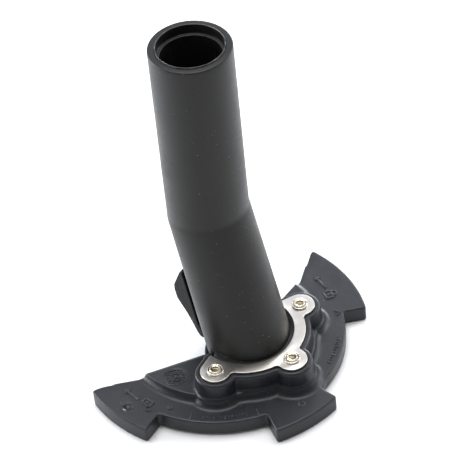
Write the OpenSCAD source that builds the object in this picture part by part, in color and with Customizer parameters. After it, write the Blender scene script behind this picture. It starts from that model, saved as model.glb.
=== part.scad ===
// Rod holder: a bent tube held by a clamp plate on a bayonet base, with a spring-returned
// release lever. Millimetres, +Z up, front is -Y. The origin is the centre of the bayonet
// circle, on the plane that the lugs rest on.

/* [Base] */
// Radius of the bayonet lugs
lug_r = 93.5; // [86:0.5:100]
// Radius of the rim between the lugs
rim_r = 78.4; // [74:0.2:80]
// Height of the top of the rim and lugs
rim_top = 11.3; // [10:0.1:13]
// Height of the rim's underside above the lugs' underside
rim_lift = 1.2; // [0.5:0.1:2]
// Radius of the raised ledge
ledge_r = 60.5; // [56:0.5:63]
// Height of the raised ledge
ledge_top = 16; // [15:0.1:17]
// Turn of the lugs and back edges about Z, against the tube's plane
base_turn = -6.8; // [-9:0.2:9]

/* [Boss and clamp plate] */
// Distance from the bayonet centre forward to the tube's foot
foot_offset = 22.9; // [20:0.1:24]
// Height of the clamp plate's top face
plate_top = 28.4; // [27:0.1:30]
// Thickness of the clamp plate
plate_t = 2; // [1.5:0.1:2.5]
// Inner radius of the clamp plate
plate_inner_r = 30.1; // [29.8:0.1:30.5]
// Outer radius of the clamp plate between its lobes
plate_neck_r = 37.3; // [37:0.1:38]
// Radius of the lobe round each screw
plate_lobe_r = 9.6; // [9:0.1:10]
// Radius of the circle that the screws stand on
screw_circle_r = 39.3; // [38.8:0.1:39.6]
// Angle between neighbouring screws
screw_pitch = 75; // [72:1:76]
// Wall of the boss outside the clamp plate
boss_margin = 3.4; // [2.6:0.1:3.6]

/* [Tube] */
// Radius at the mouth
mouth_r = 25; // [24:0.1:26]
// Radius at the bend
bend_r = 25.3; // [25:0.1:26]
// Radius at the foot
foot_r = 26.8; // [26:0.1:27]
// Backward lean of the lower tube
lean = 14.5; // [13:0.5:16]
// Length of the lower tube along its axis, from the clamp plate to the bend
lower_len = 93; // [88:1:98]
// Length of the upper tube, from the bend to the mouth
upper_len = 124; // [110:1:140]
// Radius of the upper bore, which the liner fills
upper_bore_r = 20.7; // [20:0.1:21]
// Radius of the liner's bore, which the rod butt slides in
rod_bore_r = 18.4; // [17:0.1:19]

/* [Lever and plunger] */
// Half of the lever's width
lever_half_w = 15; // [14.8:0.1:16]
// Swing of the lever from shut to released
release_angle = 15; // [8:1:15]
// Height of the lever's pivot along the tube
pivot_s = 0; // [-0.5:0.1:0.5]
// Distance of the lever's pivot from the tube's axis
pivot_v = 28.8; // [28.5:0.1:29]
// Distance of the plunger behind the tube's foot
plunger_back = 6.9; // [6:0.1:7.5]
// Radius of the plunger's stem
plunger_r = 4; // [3.5:0.1:4]

/* [Hidden] */

$fn = 96;
big = 300;
eps = 0.01;

// Colours
black_nylon = [0.06, 0.065, 0.075];
black_tube = [0.09, 0.09, 0.085];
black_liner = [0.16, 0.16, 0.155];
rubber_grey = [0.12, 0.12, 0.12];
stainless = [0.78, 0.76, 0.72];
brass = [0.72, 0.58, 0.3];
acetal = [0.85, 0.84, 0.8];

// Base
lug_spans = [[-100, -69], [-18, 10.5], [61, 102]];
back_left = [-64, 3];
back_right = [66, 1.2];
back_slopes = [0.556, 0.75];
waist_left = [-20, -11];
waist_right = [20, -13];
ledge_steps = 3;
ledge_flare = 3.2;
ledge_margin = 2;
floor_z = 5.5;
socket_z = 9;
skirt_t = 3.5;
rib_t = 2.4;
rib_angles = [-80, -60, -40, -20, 0, 20, 40, 60, 80];
rear_cup_r = 30;
rear_cup_y = -26.5;
rear_cup_top = ledge_top - 0.8;
socket_gap = 0.2;
foot = [0, -foot_offset];

// Boss and clamp plate
screw_angles = [-90 - screw_pitch, -90, -90 + screw_pitch];
plate_z = plate_top - plate_t;
plate_gap = 0.3;
plate_recess = 1;
plate_end = 1.6;
tab_angle = 70;
boss_top = plate_z + plate_recess;
fillet_r = 3;
collar_r = 33.3;
collar_gap = 0.3;
collar_z = 21.5;
gasket_t = 1.5;
collar_back = 1.2;

// Screws and inserts
screw_shank_r = 2.45;
screw_hole_r = 2.7;
screw_flange_r = 5.2;
screw_flange_t = 1.2;
screw_head_r = 3.6;
screw_head_h = 1.9;
screw_socket_r = 2.31;
screw_socket_depth = 1.4;
insert_r = 3.4;
insert_bore_r = 2.5;
insert_bottom = 17.8;

// Tube
bend = [0, -foot_offset + lower_len * sin(lean), plate_top + lower_len * cos(lean)];
mouth_z = bend[2] + upper_len;
lower_bore_r = 22;
neck_bore_r = 19;
lower_bore_top = 26;
mouth_step_r = 20.1;
mouth_step_depth = 6;
stop_z = bend[2] + 7;
stop_t = 5;
pad_t = 3;
drain_r = 4;
liner_bottom = stop_z + stop_t + pad_t;

// Lever, in the tube's frame: v is the distance from the axis, s the height along it
lever_outline = [[27.8, 48], [31, 44.2], [40.2, 33], [41.4, 28.5], [41.4, 22], [35.6, 11.4], [32.2, 1.5],
                 [31, -2], [29.4, -4.3], [28, -4.9], [25.6, -4.6], [25.6, 1.5], [27.8, 5]];
lever_crown = [12, 44.6];
lever_wall = 2.5;
cavity_floor = 8;
ear_in = 9.2;
ear_out = 12.2;
ear_r = 3;
ear_foot = [-4, 6];
ear_gap = 0.35;
pin_r = 1.5;
pin_hole_r = 1.55;
pin_left = -13;
knuckle_r = 3.2;
lever_tube_gap = 0.6;
toe_w = 8;
toe_t = 4;
toe_nose_r = 2.2;
slot_w = 9;
slot_below = 4;
slot_above = 6;

// Plunger, vertical, behind the foot's centre
plunger_y = -foot_offset + plunger_back;
pivot_y = -foot_offset + pivot_s * sin(lean) + pivot_v * cos(lean);
pivot_z = plate_top + pivot_s * cos(lean) - pivot_v * sin(lean);
toe_len = pivot_y - plunger_y;
plunger_tip = 1;
ring_gap = 0.3;
ring_z = pivot_z + toe_nose_r + ring_gap;
ring_t = 1.8;
ring_r = 7.4;
pilot_r = 3;
guide_r = 6.5;
guide_flange_r = 8.5;
guide_bottom = 3.5;
guide_top = 14;
guide_clearance = 0.05;
seat_s = 17.5;
seat_t = 5;
seat_boss_r = 7.2;
seat_z = 42;
pilot_top = seat_z + 1;
spring_r = 4.3;
spring_wire_r = 0.6;
spring_turns = 7;
spring_sides = 6;
spring_steps = 16;

// ---- Frames ----

// Moves its children into the lower tube's frame: Z along the axis, Y away behind it
module tube_frame() {
    translate([0, -foot_offset, plate_top]) rotate([-lean, 0, 0]) children();
}

// Places its children at the lever's pivot, in the object's frame
module at_pivot() {
    translate([0, pivot_y, pivot_z]) children();
}

// Places its children on the plunger's axis
module at_plunger() {
    translate([0, plunger_y, 0]) children();
}

// Places its children on one screw's axis
module at_screw(angle) {
    translate([screw_circle_r * cos(angle), -foot_offset + screw_circle_r * sin(angle), 0])
        children();
}

// A bar along X, centred, with its axis at the origin
module x_bar(r, half_w) {
    rotate([0, 90, 0]) cylinder(h = 2 * half_w, r = r, center = true);
}

// ---- Outlines in plan ----

// Everything in front of the base's back edge
module front_region() {
    far = big / 2;
    polygon([
        [-far, -far], [far, -far],
        [far, back_right[1] + (far - back_right[0]) * back_slopes[1]], back_right, waist_right,
        waist_left, back_left, [-far, back_left[1] + (far + back_left[0]) * back_slopes[0]]
    ]);
}

// A wedge from the bayonet centre between two angles from the front
module wedge(span) {
    middle = (span[0] + span[1]) / 2;
    polygon(concat([[0, 0]], [for (a = [span[0], middle, span[1]]) [big * sin(a), -big * cos(a)]]));
}

// Half-plane in front of the tube's foot
module front_half() {
    translate([-big / 2, -big - foot_offset]) square(big);
}

// The tab that joins an end lobe to the edge of the tube's opening
module end_tab() {
    lobe = screw_circle_r * [cos(screw_angles[2]), sin(screw_angles[2])];
    corner = [plate_inner_r + plate_end, plate_end];
    polygon([
        lobe, lobe + plate_lobe_r * [cos(tab_angle), sin(tab_angle)], corner,
        [0, plate_end], [0, lobe[1]]
    ]);
}

// The clamp plate's outline with the tube's opening filled in
module plate_blank() {
    offset(r = -fillet_r, $fn = 32) offset(r = fillet_r, $fn = 32) {
        intersection() {
            translate(foot) circle(r = plate_neck_r, $fn = 72);
            front_half();
        }
        for (a = screw_angles) at_screw(a) circle(r = plate_lobe_r, $fn = 40);
        translate(foot) end_tab();
        translate(foot) mirror([1, 0]) end_tab();
    }
}

// The clamp plate's outline
module plate_outline() {
    difference() {
        plate_blank();
        translate(foot) circle(r = plate_inner_r);
    }
}

// The boss's outline, which follows the clamp plate
module boss_outline(grow) {
    offset(r = grow, $fn = 32) plate_blank();
}

// ---- Base ----

// A disc about the bayonet centre, cut off along the back edge
module sector_disc(r, h) {
    intersection() {
        cylinder(h = h, r = r);
        translate([0, 0, -1]) linear_extrude(h + 2) front_region();
    }
}

// One bayonet lug
module lug(span) {
    intersection() {
        sector_disc(lug_r, rim_top);
        translate([0, 0, -1]) linear_extrude(rim_top + 2) wedge(span);
    }
}

// One layer of the ledge, from the rim's underside up
module ledge_layer(grow, top) {
    rotate(base_turn) translate([0, 0, rim_lift]) sector_disc(ledge_r + grow, top - rim_lift);
    translate([0, 0, rim_top - 1]) linear_extrude(top - rim_top + 1)
        boss_outline(boss_margin + ledge_margin + grow);
}

// The solid that the base is cut from
module base_blank() {
    rotate(base_turn) {
        translate([0, 0, rim_lift]) sector_disc(rim_r, rim_top - rim_lift);
        for (span = lug_spans) lug(span);
    }
    step_h = (ledge_top - rim_top) / ledge_steps;
    for (i = [1 : ledge_steps])
        ledge_layer(ledge_flare * (ledge_steps - i) / ledge_steps, rim_top + i * step_h);
    translate([0, rear_cup_y, rim_lift]) cylinder(h = rear_cup_top - rim_lift, r = rear_cup_r);
    translate([0, 0, ledge_top - 1])
        linear_extrude(boss_top - ledge_top + 1) boss_outline(boss_margin);
}

// The hollow under the base, with its ribs left standing
module underside_hollow() {
    difference() {
        rotate(base_turn) intersection() {
            translate([0, 0, -1]) cylinder(h = floor_z + 1, r = rim_r - skirt_t);
            translate([0, -skirt_t * 1.2, -2]) linear_extrude(floor_z + 3) front_region();
        }
        rotate(base_turn) for (a = rib_angles)
            rotate(a) translate([-rib_t / 2, -rim_r, -2]) cube([rib_t, rim_r - 18, big]);
        at_plunger() cylinder(h = big, r = guide_flange_r + 2, center = true);
    }
}

module base_flange() {
    color(black_nylon) difference() {
        base_blank();
        underside_hollow();
        // Socket for the tube's foot
        intersection() {
            tube_frame()
                translate([0, 0, -60]) cylinder(h = 100, r = foot_r + socket_gap);
            translate([-big / 2, -big / 2, socket_z]) cube(big);
        }
        // Recess for the gasket and the foot's collar
        translate([0, -foot_offset, collar_z - gasket_t]) intersection() {
            cylinder(h = 40, r = collar_r + collar_gap);
            translate([-big / 2, -big + collar_back, 0]) cube(big);
        }
        // Seat for the clamp plate
        translate([0, 0, plate_z]) linear_extrude(10) boss_outline(plate_gap);
        for (a = screw_angles)
            at_screw(a) translate([0, 0, insert_bottom]) cylinder(h = 20, r = insert_r);
        at_plunger() translate([0, 0, -1]) cylinder(h = 20, r = guide_r);
    }
}

// ---- Tube ----

// Half-space on one side of the bend's mitre plane: side is 1 above it, -1 below it
module mitre_side(side) {
    translate(bend) rotate([-lean / 2, 0, 0]) translate([0, 0, side * big / 2])
        cube(big, center = true);
}

// Full solid of the bent tube, down to the socket's floor
module tube_body() {
    intersection() {
        tube_frame() {
            cylinder(h = lower_len + 20, r1 = foot_r, r2 = bend_r);
            translate([0, 0, -40]) cylinder(h = 40, r = foot_r);
        }
        mitre_side(-1);
        translate([-big / 2, -big / 2, socket_z]) cube(big);
    }
    intersection() {
        translate([0, bend[1], bend[2] - 20]) cylinder(h = upper_len + 20, r1 = bend_r, r2 = mouth_r);
        mitre_side(1);
    }
}

// Collar that the clamp plate holds down, cut off behind
module foot_collar() {
    translate([0, -foot_offset, collar_z]) intersection() {
        cylinder(h = plate_z - collar_z, r = collar_r);
        translate([-big / 2, -big + collar_back, 0]) cube(big);
    }
}

// One of the two ears that the lever's pin stands in
module lever_ear(x) {
    tube_frame() translate([x, 0, 0]) hull() {
        translate([0, pivot_v, pivot_s]) rotate([0, 90, 0]) cylinder(h = ear_out - ear_in, r = ear_r, $fn = 32);
        translate([0, 21, ear_foot[0]]) cube([ear_out - ear_in, 2, ear_foot[1] - ear_foot[0]]);
    }
}

module rod_tube() {
    color(black_tube) difference() {
        union() {
            tube_body();
            foot_collar();
            lever_ear(ear_in);
            lever_ear(-ear_out);
        }
        // Bores of the lower tube and the bend
        tube_frame() translate([0, 0, -60]) cylinder(h = 60 + lower_bore_top, r = lower_bore_r);
        intersection() {
            tube_frame() translate([0, 0, -60]) cylinder(h = 200, r = neck_bore_r);
            mitre_side(-1);
        }
        intersection() {
            translate([0, bend[1], bend[2] - 20]) cylinder(h = 60, r = neck_bore_r);
            mitre_side(1);
        }
        translate([0, bend[1], stop_z]) cylinder(h = upper_len, r = upper_bore_r);
        // Window for the lever's toe
        at_pivot() translate([-slot_w, -20, -slot_below])
            cube([2 * slot_w, 30, slot_below + slot_above]);
        at_pivot() x_bar(pin_r, lever_half_w + 5);
    }
}

module tube_liner() {
    color(black_liner) translate([0, bend[1], liner_bottom]) difference() {
        cylinder(h = mouth_z + 0.6 - liner_bottom, r = upper_bore_r);
        translate([0, 0, -1]) cylinder(h = upper_len + 20, r = rod_bore_r);
        translate([0, 0, mouth_z - liner_bottom - mouth_step_depth])
            cylinder(h = 20, r = mouth_step_r);
    }
}

module butt_stop() {
    color(black_nylon) translate([0, bend[1], stop_z]) difference() {
        cylinder(h = stop_t, r = upper_bore_r);
        translate([0, 0, -1]) cylinder(h = stop_t + 2, r = drain_r);
    }
}

module butt_pad() {
    color(rubber_grey) translate([0, bend[1], stop_z + stop_t]) difference() {
        cylinder(h = pad_t, r = upper_bore_r);
        translate([0, 0, -1]) cylinder(h = pad_t + 2, r = drain_r);
    }
}

module foot_gasket() {
    color(rubber_grey) difference() {
        translate([0, -foot_offset, collar_z - gasket_t]) intersection() {
            cylinder(h = gasket_t, r = collar_r);
            translate([-big / 2, -big + collar_back, 0]) cube(big);
        }
        tube_frame() translate([0, 0, -60]) cylinder(h = 100, r = foot_r + socket_gap);
    }
}

// ---- Clamp plate and its screws ----

module clamp_plate() {
    color(stainless) difference() {
        translate([0, 0, plate_z]) linear_extrude(plate_t) plate_outline();
        for (a = screw_angles) at_screw(a) cylinder(h = big, r = screw_hole_r);
    }
}

module clamp_screw(angle) {
    color(stainless) at_screw(angle) difference() {
        union() {
            translate([0, 0, insert_bottom + 0.5])
                cylinder(h = plate_top - insert_bottom, r = screw_shank_r);
            translate([0, 0, plate_top]) cylinder(h = screw_flange_t, r = screw_flange_r);
            translate([0, 0, plate_top]) cylinder(h = screw_head_h, r = screw_head_r);
        }
        translate([0, 0, plate_top + screw_head_h - screw_socket_depth])
            cylinder(h = 10, r = screw_socket_r, $fn = 6);
    }
}

module screw_insert(angle) {
    color(brass) at_screw(angle) translate([0, 0, insert_bottom]) difference() {
        cylinder(h = plate_z - insert_bottom, r = insert_r);
        translate([0, 0, -1]) cylinder(h = 20, r = insert_bore_r);
    }
}

module clamp_screw_left() { clamp_screw(screw_angles[0]); }
module clamp_screw_front() { clamp_screw(screw_angles[1]); }
module clamp_screw_right() { clamp_screw(screw_angles[2]); }
module screw_insert_left() { screw_insert(screw_angles[0]); }
module screw_insert_front() { screw_insert(screw_angles[1]); }
module screw_insert_right() { screw_insert(screw_angles[2]); }

// ---- Release lever ----

// The lever's side outline, extruded across its width
module lever_prism(half_w, inset) {
    tube_frame() rotate([90, 0, 90]) translate([0, 0, -half_w]) linear_extrude(2 * half_w)
        offset(delta = -inset) polygon(lever_outline);
}

// What the slopes at the lever's two upper corners take off
module lever_corners() {
    top = lever_outline[0][1];
    for (side = [0, 1])
        mirror([side, 0]) tube_frame() rotate([90, 0, 0]) translate([0, 0, -big / 2]) linear_extrude(big)
            polygon([
                [lever_crown[0], top], [lever_half_w, lever_crown[1]], [big / 2, lever_crown[1]],
                [big / 2, big], [lever_crown[0], big]
            ]);
}

// The fork that reaches into the tube and lifts the plunger's ring
module lever_toe() {
    arm_end = toe_len - plunger_r - 1.6;
    inner_x = plunger_r + 0.5;
    prong = (toe_w - inner_x) / 2;
    translate([-toe_w, -arm_end, -toe_t / 2]) cube([2 * toe_w, arm_end, toe_t]);
    for (side = [-1, 1]) translate([side * (inner_x + prong), 0, 0]) {
        translate([-prong, -toe_len, -toe_t / 2]) cube([2 * prong, toe_len - arm_end + 1, toe_t]);
        translate([0, -toe_len, 0]) x_bar(toe_nose_r, prong);
    }
}

// Room for the tube, in the lever's own frame when it has swung by an angle
module tube_clearance(angle) {
    at_pivot() rotate([angle, 0, 0]) translate([0, -pivot_y, -pivot_z]) tube_frame()
        cylinder(h = big, r = foot_r + lever_tube_gap, center = true);
}

// Slot for one of the tube's ears
module ear_slot(x) {
    tube_frame() translate([x - ear_gap, 10, -20])
        cube([ear_out - ear_in + 2 * ear_gap, 40, cavity_floor + 20]);
}

module release_lever() {
    cavity_w = ear_out + ear_gap;
    color(black_nylon) difference() {
        union() {
            difference() {
                lever_prism(lever_half_w, 0);
                intersection() {
                    lever_prism(cavity_w, lever_wall);
                    tube_frame() translate([-big / 2, 0, cavity_floor - 1]) cube(big);
                }
                tube_frame() translate([-cavity_w, 15, cavity_floor - 1])
                    cube([2 * cavity_w, 16, 34]);
                lever_corners();
                tube_clearance(0);
                tube_clearance(release_angle);
            }
            at_pivot() x_bar(knuckle_r, lever_half_w - 0.5);
            at_pivot() lever_toe();
        }
        ear_slot(ear_in);
        ear_slot(-ear_out);
        pin_bar(pin_hole_r, pin_left - 0.2, lever_half_w + 1);
    }
}

// A bar along the pivot's axis, from x0 to x1
module pin_bar(r, x0, x1) {
    at_pivot() translate([x0, 0, 0]) rotate([0, 90, 0]) cylinder(h = x1 - x0, r = r);
}

module lever_pin() {
    color(stainless) pin_bar(pin_r, pin_left, lever_half_w - 0.2);
}

// ---- Plunger ----

module lock_plunger() {
    color(stainless) at_plunger() {
        translate([0, 0, plunger_tip + 1]) cylinder(h = ring_z - plunger_tip - 1, r = plunger_r);
        translate([0, 0, plunger_tip]) cylinder(h = 1, r1 = plunger_r - 1, r2 = plunger_r);
        translate([0, 0, ring_z - eps]) cylinder(h = pilot_top - ring_z, r = pilot_r);
    }
}

module plunger_guide() {
    color(acetal) at_plunger() difference() {
        union() {
            translate([0, 0, guide_bottom]) cylinder(h = guide_top - guide_bottom, r = guide_r);
            translate([0, 0, socket_z]) cylinder(h = 2, r = guide_flange_r);
        }
        cylinder(h = big, r = plunger_r + guide_clearance);
    }
}

module plunger_ring() {
    color(stainless) at_plunger() translate([0, 0, ring_z]) difference() {
        cylinder(h = ring_t, r = ring_r);
        translate([0, 0, -1]) cylinder(h = 5, r = pilot_r);
    }
}

module spring_seat() {
    color(acetal) difference() {
        union() {
            tube_frame() translate([0, 0, seat_s]) cylinder(h = seat_t, r = lower_bore_r);
            intersection() {
                at_plunger() translate([0, 0, seat_z]) cylinder(h = 10, r = seat_boss_r);
                tube_frame() translate([0, 0, seat_s + seat_t - 50]) cylinder(h = 50, r = lower_bore_r);
            }
        }
        at_plunger() cylinder(h = big, r = pilot_r + guide_clearance);
    }
}

// A helical wire as one swept solid
function helix_point(i, j, z0, pitch) =
    let (turn = i / spring_steps * 360, side = j / spring_sides * 360,
         r = spring_r + spring_wire_r * cos(side))
    [r * cos(turn), r * sin(turn), z0 + pitch * i / spring_steps + spring_wire_r * sin(side)];

module plunger_spring() {
    gap = 0.1;
    z0 = ring_z + ring_t + spring_wire_r + gap;
    z1 = seat_z - spring_wire_r - gap;
    count = spring_turns * spring_steps;
    pitch = (z1 - z0) / spring_turns;
    points = [for (i = [0 : count], j = [0 : spring_sides - 1]) helix_point(i, j, z0, pitch)];
    sides = [for (i = [0 : count - 1], j = [0 : spring_sides - 1])
        let (k = (j + 1) % spring_sides, a = i * spring_sides, b = a + spring_sides)
        [a + j, b + j, b + k, a + k]];
    first = [for (j = [0 : spring_sides - 1]) j];
    last = [for (j = [spring_sides - 1 : -1 : 0]) count * spring_sides + j];
    color(stainless) at_plunger() polyhedron(points, concat(sides, [first, last]));
}

base_flange();
rod_tube();
tube_liner();
butt_stop();
butt_pad();
foot_gasket();
clamp_plate();
clamp_screw_left();
clamp_screw_front();
clamp_screw_right();
screw_insert_left();
screw_insert_front();
screw_insert_right();
release_lever();
lever_pin();
lock_plunger();
plunger_guide();
plunger_ring();
plunger_spring();
spring_seat();
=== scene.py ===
"""Looks of the rod holder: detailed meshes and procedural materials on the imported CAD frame."""

import math
from itertools import product

import bmesh
import bpy
import numpy as np
from mathutils import Matrix, Vector


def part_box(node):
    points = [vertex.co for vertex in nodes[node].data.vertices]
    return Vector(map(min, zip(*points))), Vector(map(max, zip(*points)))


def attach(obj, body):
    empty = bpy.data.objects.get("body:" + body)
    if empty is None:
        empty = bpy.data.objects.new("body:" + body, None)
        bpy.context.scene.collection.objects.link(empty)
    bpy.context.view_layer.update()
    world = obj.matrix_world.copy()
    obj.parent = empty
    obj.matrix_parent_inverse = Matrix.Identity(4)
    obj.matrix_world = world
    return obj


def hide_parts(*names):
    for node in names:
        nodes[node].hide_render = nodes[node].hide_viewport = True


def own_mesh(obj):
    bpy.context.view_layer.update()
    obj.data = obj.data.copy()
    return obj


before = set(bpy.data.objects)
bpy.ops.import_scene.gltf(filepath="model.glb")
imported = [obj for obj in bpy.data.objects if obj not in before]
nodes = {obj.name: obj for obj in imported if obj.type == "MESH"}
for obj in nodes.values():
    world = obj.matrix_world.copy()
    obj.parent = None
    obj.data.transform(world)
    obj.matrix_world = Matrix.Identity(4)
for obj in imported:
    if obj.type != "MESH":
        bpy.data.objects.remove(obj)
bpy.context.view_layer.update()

MM = 0.001

# Sizes in millimetres, mostly as in part.scad. R is a radius, Z a height, S a height along the
# lower tube. The base's angles and points belong to its own frame, turned by BASE_TURN.

# Base: rim, lugs from the first to the second angle, ledge and back edge
BASE_TURN = math.radians(-6.8)
RIM_R, RIM_TOP, RIM_LIFT = 78.4, 11.3, 1.2
LUG_R = 93.5
LUG_SPANS = [(-100, -69), (-18, 10.5), (61, 102)]
LEDGE_R, LEDGE_TOP, LEDGE_FLARE, LEDGE_MARGIN = 60.5, 16.0, 3.2, 5.4
BACK_LEFT, BACK_RIGHT = (-64, 3), (66, 1.2)
WAIST_LEFT, WAIST_RIGHT = (-20, -11), (20, -13)
BACK_SLOPES = (0.556, 0.75)
CUP_Y, CUP_R = -26.5, 30

# Boss under the clamp plate, with the seats and holes in it
FOOT_Y = -22.9
BOSS_TOP, BOSS_MARGIN = 27.4, 3.4
PLATE_TOP, PLATE_T = 28.4, 2.0
PLATE_Z = PLATE_TOP - PLATE_T
SEAT_R, SEAT_BACK = 31, 1.6
COLLAR_SEAT_R, COLLAR_SEAT_Z, COLLAR_SEAT_BACK = 33.6, 20, 1.2
INSERT_HOLE_R, INSERT_HOLE_Z = 3.4, 17.8
GUIDE_HOLE_R, GUIDE_WALL_R = 6.5, 10.5

# Hollow underside with its ribs, then the left lug's dimple and the ledge's date dial
WALL, BACK_WALL, HOLLOW_TOP = 3.5, 4.2, 5.5
RIB_ANGLES = range(-80, 81, 20)
RIB_HALF, RIB_START = 1.2, 18
DIMPLE, DIMPLE_RISE, DIMPLE_R = (-84.5, -0.6), 3.4, 4.9
DIAL, DIAL_R, DIAL_DEPTH = (-49.9, -8.7), 7.2, 0.55

# Screws, on a circle about the tube's foot
SCREW_R = 39.3
SCREW_ANGLES = {"left": -165, "front": -90, "right": -15}
SHANK_R, HEX_R = 2.45, 2.0

# Tube: the lower length leans back, and both lengths taper
LEAN = math.radians(14.5)
BEND = np.array([0, 0.385, 118.44])
MOUTH_Z = 242.44
MOUTH_R, BEND_R, FOOT_R = 25.0, 25.3, 26.8
LOWER_TAPER = 113
UPPER_TAPER_Z = 98.44
LIP_R = 0.9
TUBE_FLOOR = 9.0
LOWER_BORE_R, THROAT_R, THROAT_S = 22.0, 19.0, 26.0
LINER_BORE_R, LINER_BORE_Z = 20.72, 125.44
LINER_OUT_R, LINER_LIP_R, LINER_IN_R = 20.68, 20.1, 18.4
LINER_LOW, LINER_STEP, LINER_TOP = 133.44, 236.44, 243.0
COLLAR_LEAN = 0.258
EAR_SPAN, EAR_R, EAR_BEHIND = (9.2, 12.2), 3, 28.8
WINDOW = (18, 30, 10)

# Lever's pivot, and the plunger's axis
PIVOT = np.array([0, 4.983, 21.189])
PLUNGER_Y = -16.0


# ---- Mesh helpers ----

def new_object(name, data):
    """A new object in the scene."""
    obj = bpy.data.objects.new(name, data)
    bpy.context.scene.collection.objects.link(obj)
    return obj


def from_bmesh(name, bm):
    """A new object made from a bmesh, which is then freed."""
    mesh = bpy.data.meshes.new(name)
    bm.to_mesh(mesh)
    bm.free()
    return new_object(name, mesh)


def recalc(obj):
    """Turns the faces' normals outward."""
    bm = bmesh.new()
    bm.from_mesh(obj.data)
    bmesh.ops.recalc_face_normals(bm, faces=bm.faces)
    bm.to_mesh(obj.data)
    bm.free()


def add_mesh(name, verts, faces, smooth=True):
    """A new mesh object from points in millimetres."""
    mesh = bpy.data.meshes.new(name)
    mesh.from_pydata((np.asarray(verts, float) * MM).tolist(), [], [list(map(int, f)) for f in faces])
    mesh.update()
    if smooth:
        mesh.shade_smooth()
    return new_object(name, mesh)


def apply_modifiers(obj):
    """Makes the modifiers' result the object's own mesh."""
    graph = bpy.context.evaluated_depsgraph_get()
    mesh = bpy.data.meshes.new_from_object(obj.evaluated_get(graph), depsgraph=graph)
    obj.modifiers.clear()
    obj.data = mesh


def copy_node(name, new_name):
    """A new object made from a copy of a CAD node's mesh, with its vertices joined."""
    obj = new_object(new_name, nodes[name].data.copy())
    bm = bmesh.new()
    bm.from_mesh(obj.data)
    bmesh.ops.remove_doubles(bm, verts=bm.verts, dist=1e-6)
    bm.to_mesh(obj.data)
    bm.free()
    if obj.data.has_custom_normals:
        bpy.context.view_layer.objects.active = obj
        with bpy.context.temp_override(object=obj, active_object=obj):
            bpy.ops.mesh.customdata_custom_splitnormals_clear()
    return obj


def grid_faces(rows, cols, closed_rows=False):
    """Quads between rings of points, each ring closed."""
    faces = []
    for i in range(rows if closed_rows else rows - 1):
        n = (i + 1) % rows
        for j in range(cols):
            k = (j + 1) % cols
            faces.append((i * cols + j, i * cols + k, n * cols + k, n * cols + j))
    return faces


def lathe(name, profile, centre, segments):
    """Turns a closed profile of (radius, z) points about a vertical axis, which makes a ring."""
    angles = np.arange(segments) * 2 * math.pi / segments
    verts = [
        (centre[0] + r * math.cos(a), centre[1] + r * math.sin(a), z)
        for r, z in profile
        for a in angles
    ]
    obj = add_mesh(name, verts, grid_faces(len(profile), segments, True))
    obj.data.set_sharp_from_angle(angle=math.radians(35))
    return obj


def rounded(points, radius, steps=4):
    """A closed profile with its corners rounded."""
    points = [np.array(p, float) for p in points]
    out = []
    for i, p in enumerate(points):
        before, after = points[i - 1], points[(i + 1) % len(points)]
        r = radius[i] if hasattr(radius, "__len__") else radius
        a, b = before - p, after - p
        la, lb = np.linalg.norm(a), np.linalg.norm(b)
        r = min(r, la * 0.45, lb * 0.45)
        if r < 1e-6:
            out.append(p)
            continue
        start, end = p + a / la * r, p + b / lb * r
        for t in np.linspace(0, 1, steps + 1):
            out.append((1 - t) ** 2 * start + 2 * t * (1 - t) * p + t ** 2 * end)
    return [tuple(p) for p in out]


# ---- Solid fields ----

def smin(a, b, k):
    """The smaller of two fields, blended over a width k."""
    h = np.maximum(k - np.abs(a - b), 0) / k
    return np.minimum(a, b) - h * h * k / 4


def smax(a, b, k):
    """The larger of two fields, blended over a width k."""
    return -smin(-a, -b, k)


def slab(d2, z, z0, z1, r):
    """An outline's field extruded from z0 to z1, with its edges rounded by r."""
    wide = d2 + r
    high = np.abs(z - (z0 + z1) / 2) - (z1 - z0) / 2 + r
    inner = np.minimum(np.maximum(wide, high), 0)
    return inner + np.hypot(np.maximum(wide, 0), np.maximum(high, 0)) - r


def polygon_field(points, x, y):
    """Signed distance to a closed polygon, negative inside."""
    best = np.full(x.shape, 1e9, np.float32)
    inside = np.zeros(x.shape, bool)
    for (ax, ay), (bx, by) in zip(points, np.roll(points, -1, axis=0)):
        ex, ey = bx - ax, by - ay
        wx, wy = x - ax, y - ay
        t = np.clip((wx * ex + wy * ey) / max(ex * ex + ey * ey, 1e-12), 0, 1)
        best = np.minimum(best, (wx - ex * t) ** 2 + (wy - ey * t) ** 2)
        crosses = (ay > y) != (by > y)
        slope = ex / ey if abs(ey) > 1e-12 else 0
        inside ^= crosses & (x < ax + (y - ay) * slope)
    d = np.sqrt(best)
    return np.where(inside, -d, d)


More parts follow.
